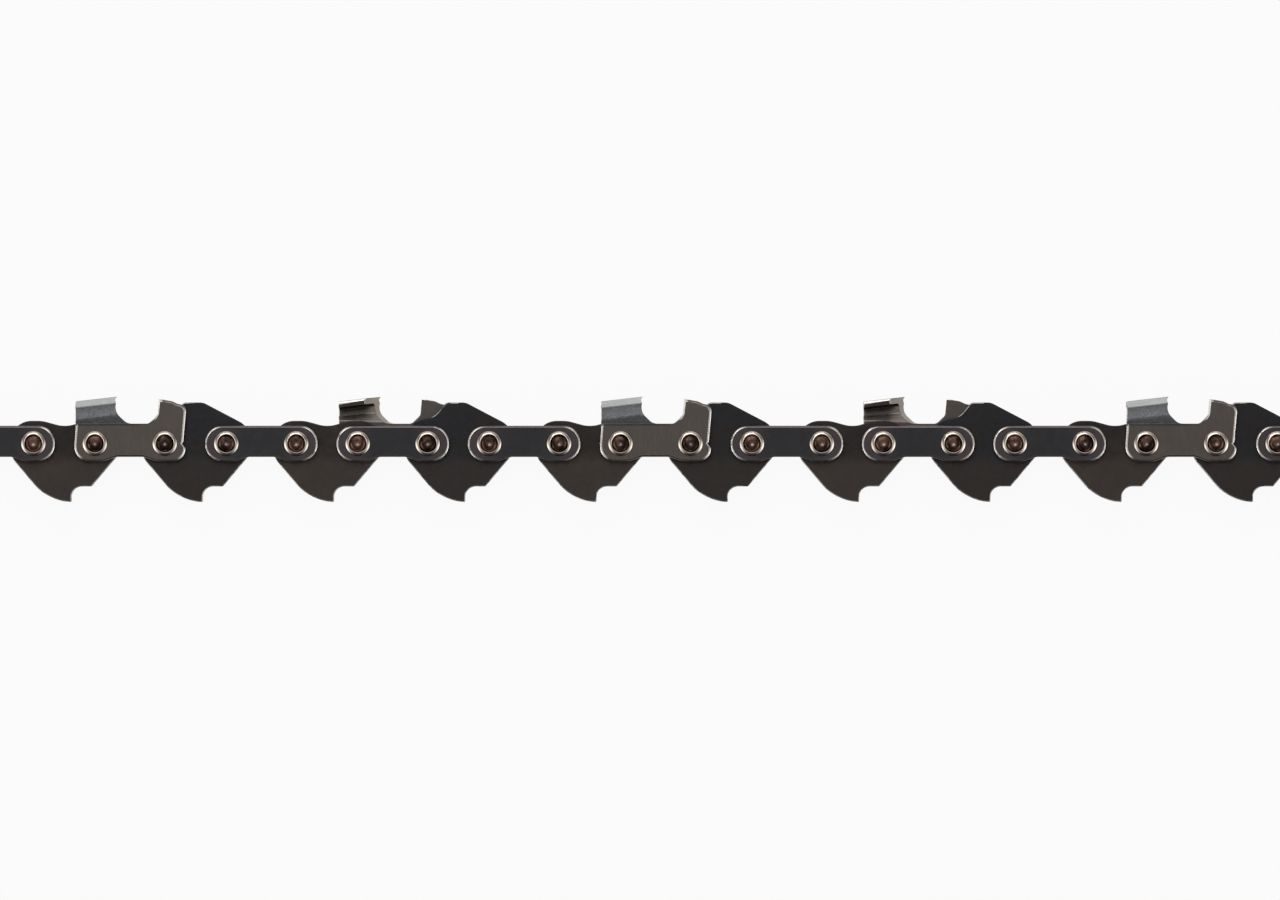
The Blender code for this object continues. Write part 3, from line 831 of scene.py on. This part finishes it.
class Finish:
    """A steel whose colour, gloss and relief come from patterns in the piece's own space."""

    def __init__(self, name, metallic, specular=0.5):
        self.material = bpy.data.materials.new(name)
        self.material.use_nodes = True
        self.tree = self.material.node_tree
        self.shader = self.tree.nodes["Principled BSDF"]
        self.shader.inputs["Metallic"].default_value = metallic
        self.shader.inputs["Specular IOR Level"].default_value = specular
        self.place = self.tree.nodes.new("ShaderNodeTexCoord").outputs["Object"]

    def link(self, source, target):
        self.tree.links.new(source, target)

    def stretched(self, stretch):
        mapping = self.tree.nodes.new("ShaderNodeMapping")
        mapping.inputs["Scale"].default_value = stretch
        self.link(self.place, mapping.inputs["Vector"])
        return mapping.outputs["Vector"]

    def noise(self, size, detail=4.0, roughness=0.55, distortion=0.0, stretch=None):
        """A pattern whose marks are about size across, from 0 to 1."""
        node = self.tree.nodes.new("ShaderNodeTexNoise")
        node.inputs["Scale"].default_value = 1 / size
        node.inputs["Detail"].default_value = detail
        node.inputs["Roughness"].default_value = roughness
        node.inputs["Distortion"].default_value = distortion
        self.link(self.stretched(stretch) if stretch else self.place, node.inputs["Vector"])
        return node.outputs["Fac"]

    def span(self, value, low, high, to_low=0.0, to_high=1.0):
        node = self.tree.nodes.new("ShaderNodeMapRange")
        node.interpolation_type = "SMOOTHSTEP"
        for name, number in (("From Min", low), ("From Max", high),
                             ("To Min", to_low), ("To Max", to_high)):
            node.inputs[name].default_value = number
        self.link(value, node.inputs["Value"])
        return node.outputs["Result"]

    def math(self, operation, first, second):
        return math_node(self.tree, operation, first, second)

    def along_and_above(self):
        """A spot's place in millimetres: along the chain from the middle of the nearest pair of
        plates, and above the line of the rivets."""
        split = self.tree.nodes.new("ShaderNodeSeparateXYZ")
        self.link(self.place, split.inputs["Vector"])
        from_middle = self.math("SUBTRACT", split.outputs["X"], MIDDLE_X)
        turns = self.math("MULTIPLY", from_middle, 1 / PAIR_PITCH)
        part = self.math("SUBTRACT", turns, self.math("ROUND", turns, 0))
        above = self.math("SUBTRACT", split.outputs["Y"], RIVET_CENTRE.y)
        return self.math("MULTIPLY", part, PAIR_PITCH / MM), self.math("MULTIPLY", above, 1 / MM)

    def from_pair_middle(self):
        """How many millimetres a spot is from the middle of the nearest pair of plates, along X."""
        return self.math("ABSOLUTE", self.along_and_above()[0], 0)

    def from_rivet(self):
        """How many millimetres a spot is from the axis of the nearest rivet."""
        along, above = self.along_and_above()
        across = self.math("SUBTRACT", self.math("ABSOLUTE", along, 0), HALF_STRAP / MM)
        squares = self.math("ADD", self.math("MULTIPLY", across, across),
                            self.math("MULTIPLY", above, above))
        return self.math("SQRT", squares, 0)

    def below_tooth_top(self):
        """How many millimetres a spot lies under the sloping top of a tooth."""
        along, above = self.along_and_above()
        rise = self.math("MULTIPLY", self.math("SUBTRACT", along, TIP_X / MM), tan(TOOTH_SLOPE))
        return self.math("SUBTRACT", self.math("ADD", rise, TOOTH_TOP / MM), above)

    def blend(self, share, first, second):
        node = self.tree.nodes.new("ShaderNodeMix")
        node.data_type = "RGBA"
        factor, one, two = node.inputs["Factor"], node.inputs[6], node.inputs[7]
        for socket, value in ((one, first), (two, second)):
            if isinstance(value, bpy.types.NodeSocket):
                self.link(value, socket)
            else:
                socket.default_value = (*value, 1)
        if isinstance(share, (int, float)):
            factor.default_value = share
        else:
            self.link(share, factor)
        return node.outputs[2]

    def colour(self, socket):
        self.link(socket, self.shader.inputs["Base Color"])

    def gloss(self, pattern, low, high):
        """Roughness that follows a pattern."""
        self.link(self.span(pattern, 0.3, 0.7, low, high), self.shader.inputs["Roughness"])

    def relief(self, height, depth, under=None):
        node = self.tree.nodes.new("ShaderNodeBump")
        node.inputs["Strength"].default_value = 1.0
        node.inputs["Distance"].default_value = depth
        self.link(height, node.inputs["Height"])
        if under is not None:
            self.link(under, node.inputs["Normal"])
        self.link(node.outputs["Normal"], self.shader.inputs["Normal"])
        return node.outputs["Normal"]


def brighter(colour, share):
    return tuple(min(1.0, channel * share) for channel in colour)


def with_dust(finish, base, dust, share=0.4):
    """A few specks of dust and tiny bright scratches over a colour."""
    specks = finish.span(finish.noise(0.24 * MM, 2.0, 0.5), 0.77, 0.8, 0, share)
    return finish.blend(specks, base, dust)


def blackened_finish(name, dark, warm, cool_share):
    finish = Finish(name, 0.9)
    patches = finish.span(finish.noise(5.0 * MM, 5, 0.62, 0.3), 0.4, 0.66)
    clouds = finish.span(finish.noise(1.6 * MM, 6, 0.65), 0.35, 0.7)
    cool = tuple(channel * share for channel, share in zip(dark, COOLER))
    base = finish.blend(patches, dark, warm)
    base = finish.blend(finish.math("MULTIPLY", clouds, cool_share), base, cool)
    rubbed = finish.math("MULTIPLY", tang_wear(finish), 0.5)
    base = finish.blend(rubbed, base, brighter(warm, 1.6))
    finish.colour(with_dust(finish, base, brighter(warm, 4.0)))
    finish.gloss(finish.noise(0.9 * MM, 5, 0.6), 0.38, 0.54)
    waves = finish.relief(finish.noise(0.8 * MM, 3), 0.006 * MM)
    finish.relief(finish.noise(0.07 * MM, 3), 0.0025 * MM, waves)
    return finish.material


def strap_finish(colours):
    """Blued in the middle and tinted by heat towards the rivets."""
    finish = Finish("blued_strap_side", 0.9)
    waver = finish.math("MULTIPLY", finish.noise(3.0 * MM, 3), 2.6)
    tint = finish.span(finish.math("ADD", finish.from_pair_middle(), waver), 3.4, 8.0)
    base = finish.blend(tint, tuple(colours.blued), tuple(colours.heat_tint))
    clouds = finish.span(finish.noise(1.4 * MM, 5, 0.6), 0.35, 0.8, 0, 0.6)
    base = finish.blend(clouds, base, brighter(colours.blued, 1.3))
    finish.colour(with_dust(finish, base, brighter(colours.heat_tint, 3.0), 0.25))
    finish.gloss(finish.noise(0.7 * MM, 5), 0.32, 0.46)
    waves = finish.relief(finish.noise(0.9 * MM, 3), 0.005 * MM)
    finish.relief(finish.noise(0.08 * MM, 3), 0.002 * MM, waves)
    return finish.material


def satin_finish(name, colour, stretch, contrast=0.14, low=0.34, high=0.5, shade_line=None):
    """Steel with fine drawn scratches. Past two depths below the tooth's top it turns dark: painted
    shade along the chamfer's lower corner.
    """
    finish = Finish(name, 0.95)
    scratches = finish.noise(0.16 * MM, 4, 0.7, 0.0, stretch)
    clouds = finish.span(finish.noise(1.8 * MM, 4, 0.6), 0.3, 0.7)
    base = finish.blend(finish.span(scratches, 0.3, 0.7),
                        brighter(colour, 1 - contrast), brighter(colour, 1 + contrast))
    base = finish.blend(finish.math("MULTIPLY", clouds, 0.5), base, brighter(colour, 0.86))
    base = with_dust(finish, base, brighter(colour, 3.0), 0.25)
    if shade_line:
        # painted shade line along the chamfer's lower corner, where the sheet bends
        painted_shade = finish.span(finish.below_tooth_top(), *shade_line)
        base = finish.blend(painted_shade, base, brighter(colour, 0.2))
    finish.colour(base)
    finish.gloss(scratches, low, high)
    grain = finish.relief(finish.noise(0.06 * MM, 3), 0.002 * MM)
    finish.relief(scratches, 0.003 * MM, grain)
    return finish.material


def plated_finish(name, colour, mottle, low=0.3, high=0.46):
    """Plating with a mottled bloom, darkened near the tooth's top by painted shade."""
    finish = Finish(name, 1.0)
    bloom = finish.span(finish.noise(0.28 * MM, 6, 0.75), 0.34, 0.66)
    wide = finish.span(finish.noise(2.2 * MM, 3), 0.35, 0.65)
    base = finish.blend(bloom, brighter(colour, 1 - mottle), brighter(colour, 1 + mottle))
    base = finish.blend(finish.math("MULTIPLY", wide, 0.4), base, brighter(colour, 0.8))
    depth = finish.below_tooth_top()
    # painted shade: very dark from 1.14 mm under the tooth's top upwards, a dark line just under
    # the chamfer's corner
    base = finish.blend(finish.span(depth, 1.14, 1.02, 0, 0.8), base, brighter(colour, 0.12))
    # painted shade: a softer darkening that fades out 2.3 mm under the tooth's top
    base = finish.blend(finish.span(depth, 2.3, 1.2, 0, 0.45), base, brighter(colour, 0.5))
    finish.colour(base)
    finish.gloss(finish.noise(0.5 * MM, 4), low, high)
    finish.relief(finish.noise(0.12 * MM, 4), 0.003 * MM)
    return finish.material


def free_edge_finish(colours):
    """The edge of the top plate: plating drawn over its upper part, dark below a ragged line."""
    finish = Finish("plate_edge_dark_below", 1.0)
    along = finish.along_and_above()[0]
    line = finish.span(along, HEEL_X / MM, TIP_X / MM - 2, 0.44, 0.2)
    ragged = finish.math("MULTIPLY", finish.noise(0.5 * MM, 4), 0.14)
    depth = finish.math("SUBTRACT", finish.math("ADD", finish.below_tooth_top(), ragged), line)
    dark_below = finish.span(depth, 0.02, 0.12)
    base = finish.blend(dark_below, tuple(colours.chamfer), brighter(colours.satin, 0.45))
    finish.colour(base)
    finish.gloss(finish.noise(0.3 * MM, 4), 0.26, 0.42)
    finish.relief(finish.noise(0.1 * MM, 4), 0.004 * MM)
    return finish.material


def worn_finish(name, dark, bright, low, high, place_of=None):
    """A rim whose coating is rubbed off in places, and only where place_of says so."""
    finish = Finish(name, 0.97)
    rubbed = finish.span(finish.noise(0.9 * MM, 5, 0.6), low, high)
    if place_of:
        rubbed = finish.math("MULTIPLY", rubbed, place_of(finish))
    finish.colour(finish.blend(rubbed, dark, bright))
    finish.gloss(finish.noise(0.3 * MM, 3), 0.2, 0.36)
    finish.relief(finish.noise(0.09 * MM, 3), 0.0015 * MM)
    return finish.material


def tang_wear(finish):
    """Links rub in the groove and on the sprocket, so below the rivets."""
    return finish.span(finish.along_and_above()[1], -1.2, -3.2)


def tang_wear_and_flank_highlight(finish):
    """A bumper's rim is worn below the rivets like any link, and along its rear flank it carries a
    painted highlight.
    """
    along, above = finish.along_and_above()
    flank_highlight = finish.math(
        "MULTIPLY", finish.span(along, 5.2, 6.0), finish.span(above, 2.9, 3.6, 0, 0.7))
    return finish.math("MAXIMUM", flank_highlight, tang_wear(finish))


def end_wear(finish):
    return finish.span(finish.from_pair_middle(), 5.5, 7.4)


def cutter_wear(finish):
    """Heel and toe, the top plate's edge and the rear of the depth gauge are polished."""
    along, above = finish.along_and_above()
    ends = finish.math("MULTIPLY", finish.span(finish.math("ABSOLUTE", along, 0), 6.5, 7.3),
                       finish.span(above, 5.3, 4.7))
    top = finish.span(finish.below_tooth_top(), 0.75, 0.5)
    gauge = finish.math("MULTIPLY", finish.span(along, 4.7, 4.4), finish.span(above, 3.2, 3.8))
    gauge = finish.math("MULTIPLY", gauge, finish.span(along, 3.0, 3.4))
    return finish.math("MAXIMUM", ends, finish.math("MAXIMUM", top, gauge))


def rivet_lip_finish(colours):
    finish = Finish("spun_rivet_lip", 1.0)
    turned = finish.noise(0.25 * MM, 4, 0.6)
    tarnish = finish.span(finish.noise(1.3 * MM, 4), 0.5, 0.8, 0, 0.5)
    base = finish.blend(tarnish, tuple(colours.rivet), brighter(colours.copper, 2.2))
    finish.colour(base)
    finish.gloss(turned, 0.09, 0.2)
    finish.relief(turned, 0.0012 * MM)
    return finish.material


def rivet_middle_finish(colours):
    """Spun rings browned by oil, black in patches, with a rubbed spot at the axis."""
    finish = Finish("browned_rivet_middle", 0.95)
    radius = finish.from_rivet()
    soot = finish.span(finish.noise(1.5 * MM, 5, 0.6), 0.42, 0.58)
    base = finish.blend(soot, tuple(colours.copper), brighter(colours.copper, 0.16))
    ring = finish.math(
        "MULTIPLY", finish.span(radius, 0.3, 0.5), finish.span(radius, 0.95, 0.7, 0, 0.7))
    base = finish.blend(ring, base, brighter(colours.copper, 0.12))
    spot = finish.math("MULTIPLY", finish.span(radius, 0.34, 0.16), 0.3)
    base = finish.blend(spot, base, BARE_METAL)
    finish.colour(base)
    finish.gloss(finish.noise(0.4 * MM, 4), 0.22, 0.4)
    finish.relief(finish.noise(0.3 * MM, 4), 0.01 * MM)
    return finish.material


# Operators

def link_finishes(kind, dark, warm, cool_share, colours, wear):
    """The finishes of a drive link's sides, wall and rim."""
    wall = tuple(colours.blackened_warm)
    return [
        blackened_finish(f"blackened_{kind}_side", dark, warm, cool_share),
        blackened_finish(f"sheared_{kind}_wall", brighter(wall, 1.4), brighter(wall, 2.2), 0.1),
        # The rim turns bright where the wear mask says: real wear on the tangs, and a painted
        # highlight on a bumper's rear flank.
        worn_finish(f"worn_{kind}_rim", dark, brighter(colours.worn, 0.5), 0.3, 0.55, wear),
    ]


class SAWCHAIN_OT_drive_links(bpy.types.Operator):
    """Add the plain drive links with their rounded backs"""
    bl_idname = "sawchain.drive_links"
    bl_label = "Drive Links"

    def execute(self, context):
        form = context.scene.saw_chain_form
        colours = context.scene.saw_chain_finish
        dark, warm = tuple(colours.blackened), tuple(colours.blackened_warm)
        finishes = link_finishes("link", dark, warm, 0.4, colours, tang_wear)
        mesh = drive_link_mesh(plain_back(), finishes, form)
        place_copies(["drive_link"], mesh, link_middle)
        return {"FINISHED"}


class SAWCHAIN_OT_bumper_links(bpy.types.Operator):
    """Add the drive links whose backs rise into a safety bumper"""
    bl_idname = "sawchain.bumper_links"
    bl_label = "Bumper Links"

    def execute(self, context):
        form = context.scene.saw_chain_form
        colours = context.scene.saw_chain_finish
        dark, warm = tuple(colours.bumper), brighter(colours.blackened_warm, 0.65)
        finishes = link_finishes("bumper", dark, warm, 0.8, colours, tang_wear_and_flank_highlight)
        mesh = drive_link_mesh(bumper_back(), finishes, form)
        place_copies(["bumper_link"], mesh, link_middle)
        return {"FINISHED"}


class SAWCHAIN_OT_tie_straps(bpy.types.Operator):
    """Add the tie straps on both sides of the chain"""
    bl_idname = "sawchain.tie_straps"
    bl_label = "Tie Straps"

    def execute(self, context):
        form = context.scene.saw_chain_form
        colours = context.scene.saw_chain_finish
        tint = tuple(colours.heat_tint)
        finishes = [
            strap_finish(colours),
            blackened_finish("sheared_strap_wall", brighter(tint, 0.7), brighter(tint, 1.2), 0.1),
            worn_finish(
                "worn_strap_rim", brighter(tint, 1.7), tuple(colours.worn), 0.25, 0.5, end_wear),
        ]
        mesh = tie_strap_mesh(finishes, form)
        place_copies(["right_strap", "left_strap"], mesh, strap_middle)
        return {"FINISHED"}


def cutter_finishes(colours):
    """The finishes of a cutter's bands, in the order of their numbers."""
    satin, plated = tuple(colours.satin), tuple(colours.plated)
    upright = (1.0, 0.09, 1.0)
    lengthwise = (0.08, 1.0, 1.0)
    across = (1.0, 1.0, 0.08)
    return [
        satin_finish("satin_cutter_side", satin, upright),
        plated_finish("shaded_cutter_jog", brighter(plated, 0.5), 0.2, 0.5, 0.65),
        plated_finish("plated_cutter_flare", plated, 0.34),
        # The chamfer darkens along its lower corner: painted shade.
        satin_finish(
            "bright_cutter_chamfer", tuple(colours.chamfer), lengthwise, 0.1, 0.3, 0.42,
            (0.84, 0.9)),
        plated_finish("plated_cutter_top", brighter(plated, 1.3), 0.12),
        free_edge_finish(colours),
        # inside of the sheet a little darker than the side: painted shade under the top plate
        satin_finish("cutter_inside", brighter(satin, 0.95), lengthwise),
        # the ledge inside the jog, much brighter than the side: a painted reflection of the light
        # beyond the cutting edges
        satin_finish("painted_light_cutter_ledge", brighter(satin, 2.4), lengthwise, 0.2),
        satin_finish("sheared_cutter_wall", brighter(satin, 2.0), across, 0.2),
        satin_finish("ground_cutter_face", tuple(colours.ground), across, 0.14, 0.3, 0.42),
        worn_finish(
            "polished_cutter_rim", brighter(satin, 1.5), tuple(colours.worn), 0.15, 0.35,
            cutter_wear),
    ]


def place_cutters(scene, kind, side):
    finishes = cutter_finishes(scene.saw_chain_finish)
    mesh = cutter_mesh(side, finishes, scene.saw_chain_form)
    place_copies([kind], mesh, pair_middle)


class SAWCHAIN_OT_right_cutters(bpy.types.Operator):
    """Add the right-hand cutters, whose outer sides face up"""
    bl_idname = "sawchain.right_cutters"
    bl_label = "Right-Hand Cutters"

    def execute(self, context):
        place_cutters(context.scene, "right_cutter", 1)
        return {"FINISHED"}


class SAWCHAIN_OT_left_cutters(bpy.types.Operator):
    """Add the left-hand cutters, seen from above into their bent teeth"""
    bl_idname = "sawchain.left_cutters"
    bl_label = "Left-Hand Cutters"

    def execute(self, context):
        place_cutters(context.scene, "left_cutter", -1)
        return {"FINISHED"}


class SAWCHAIN_OT_rivets(bpy.types.Operator):
    """Add the rivets with their spun heads"""
    bl_idname = "sawchain.rivets"
    bl_label = "Rivets"

    def execute(self, context):
        colours = context.scene.saw_chain_finish
        finishes = [rivet_lip_finish(colours), rivet_middle_finish(colours)]
        mesh = rivet_mesh(finishes, context.scene.saw_chain_form)
        place_copies(["rear_rivet", "front_rivet"], mesh, rivet_middle)
        return {"FINISHED"}


def floor_finish(studio):
    """Paper that looks nearly white, also in the steel, and keeps the chain's faint shadow."""
    material = bpy.data.materials.new("pale_floor")
    material.use_nodes = True
    tree = material.node_tree
    shader = tree.nodes["Principled BSDF"]
    shader.inputs["Base Color"].default_value = (*studio.floor, 1)
    shader.inputs["Roughness"].default_value = 0.9
    paper = tree.nodes.new("ShaderNodeEmission")
    paper.inputs["Color"].default_value = (1, 1, 1, 1)
    path = tree.nodes.new("ShaderNodeLightPath").outputs
    seen = math_node(tree, "MAXIMUM", path["Is Camera Ray"], path["Is Glossy Ray"])
    seen = math_node(tree, "MAXIMUM", seen, path["Is Transmission Ray"])
    mix = tree.nodes.new("ShaderNodeMixShader")
    tree.links.new(math_node(tree, "MULTIPLY", seen, PAPER_SHARE), mix.inputs["Fac"])
    tree.links.new(shader.outputs["BSDF"], mix.inputs[1])
    tree.links.new(paper.outputs["Emission"], mix.inputs[2])
    tree.links.new(mix.outputs["Shader"], tree.nodes["Material Output"].inputs["Surface"])
    return material


def studio_world(studio):
    """Soft light all round: brightest at the chain's ends, dark above the tangs' side."""
    world = bpy.data.worlds.new("soft_studio")
    bpy.context.scene.world = world
    world.use_nodes = True
    tree = world.node_tree
    place = tree.nodes.new("ShaderNodeTexCoord")
    split = tree.nodes.new("ShaderNodeSeparateXYZ")
    tree.links.new(place.outputs["Generated"], split.inputs["Vector"])
    x, y, z = (split.outputs[name] for name in "XYZ")
    outward = math_node(tree, "MULTIPLY", math_node(tree, "ABSOLUTE", x, 0), cos(studio.ends_turn))
    tangward = math_node(tree, "MULTIPLY", y, -sin(studio.ends_turn))
    towards_ends = math_node(tree, "ADD", outward, tangward)
    towards_near = math_node(tree, "MULTIPLY", y, -1)
    steepness = math_node(tree, "MULTIPLY", math_node(tree, "ABSOLUTE", z, 0), 8)
    flatness = math_node(tree, "SUBTRACT", 1, steepness)
    level = math_node(tree, "MULTIPLY", math_node(tree, "MAXIMUM", flatness, 0), studio.horizon)
    for way, power, strength in ((towards_ends, 8, studio.ends), (z, 6, studio.overhead),
                                 (y, 2, studio.far), (towards_near, 2, studio.near)):
        share = math_node(tree, "POWER", math_node(tree, "MAXIMUM", way, 0), power)
        level = math_node(tree, "ADD", level, math_node(tree, "MULTIPLY", share, strength))
    tree.links.new(level, tree.nodes["Background"].inputs["Strength"])
    tree.nodes["Background"].inputs["Color"].default_value = (1, 1, 1, 1)


def key_lamp(power):
    """A soft lamp above the cutting edges, turned to the middle of the chain."""
    lamp = bpy.data.lights.new("key", "AREA")
    lamp.energy = power
    lamp.size = KEY_SIZE
    key = bpy.data.objects.new("key", lamp)
    key.location = KEY_PLACE
    key.rotation_euler = (-key.location).to_track_quat("-Z", "Y").to_euler()
    return key


def camera_above():
    """A camera that looks straight down, with the chain where it stands in the photograph."""
    lens = bpy.data.cameras.new("camera")
    width = IMAGE_WIDTH * PIXEL
    lens.lens = lens.sensor_width * (CAMERA_HEIGHT - RIVET_CENTRE.z - OUTER_FACE) / width
    lens.clip_start = 0.01
    lens.clip_end = 20
    camera = bpy.data.objects.new("camera", lens)
    across = (IMAGE_WIDTH / 2 - MIDDLE_PIXEL[0]) * PIXEL
    down = (IMAGE_HEIGHT / 2 - MIDDLE_PIXEL[1]) * PIXEL
    camera.location = (MIDDLE_X + across, RIVET_CENTRE.y - down, CAMERA_HEIGHT)
    return camera


class SAWCHAIN_OT_stage(bpy.types.Operator):
    """Add the floor, the soft studio light and the camera straight above the chain's side"""
    bl_idname = "sawchain.stage"
    bl_label = "Stage"

    def execute(self, context):
        scene = context.scene
        studio = scene.saw_chain_studio
        bm = bmesh.new()
        bmesh.ops.create_grid(bm, x_segments=1, y_segments=1, size=FLOOR_HALF)
        floor = object_of(bm, "floor", [floor_finish(studio)])
        studio_world(studio)
        scene.camera = camera_above()
        for item in (key_lamp(studio.key_power), scene.camera):
            scene.collection.objects.link(item)
        scene.view_settings.view_transform = "Standard"
        return {"FINISHED"}


STEPS = (
    SAWCHAIN_OT_stage,
    SAWCHAIN_OT_drive_links,
    SAWCHAIN_OT_bumper_links,
    SAWCHAIN_OT_tie_straps,
    SAWCHAIN_OT_right_cutters,
    SAWCHAIN_OT_left_cutters,
    SAWCHAIN_OT_rivets,
)


class SAWCHAIN_PT_panel(bpy.types.Panel):
    """The chain's pieces, in the order in which they are made"""
    bl_label = "Saw Chain"
    bl_idname = "SAWCHAIN_PT_panel"
    bl_space_type = "VIEW_3D"
    bl_region_type = "UI"
    bl_category = "Saw Chain"

    def draw(self, context):
        layout = self.layout
        for step in STEPS:
            layout.operator(step.bl_idname)
        for name in ("saw_chain_form", "saw_chain_finish", "saw_chain_studio"):
            group = getattr(context.scene, name)
            box = layout.box()
            for item in group.bl_rna.properties:
                if item.identifier not in {"rna_type", "name"}:
                    box.prop(group, item.identifier)


GROUPS = {
    "saw_chain_form": SawChainForm,
    "saw_chain_finish": SawChainFinish,
    "saw_chain_studio": SawChainStudio,
}


def register():
    for item in (*GROUPS.values(), *STEPS, SAWCHAIN_PT_panel):
        bpy.utils.register_class(item)
    for name, group in GROUPS.items():
        setattr(bpy.types.Scene, name, PointerProperty(type=group))


def unregister():
    for name in GROUPS:
        delattr(bpy.types.Scene, name)
    for item in reversed((*GROUPS.values(), *STEPS, SAWCHAIN_PT_panel)):
        bpy.utils.unregister_class(item)


def main():
    register()
    for step in STEPS:
        family, name = step.bl_idname.split(".")
        getattr(getattr(bpy.ops, family), name)()


if __name__ == "__main__":
    main()
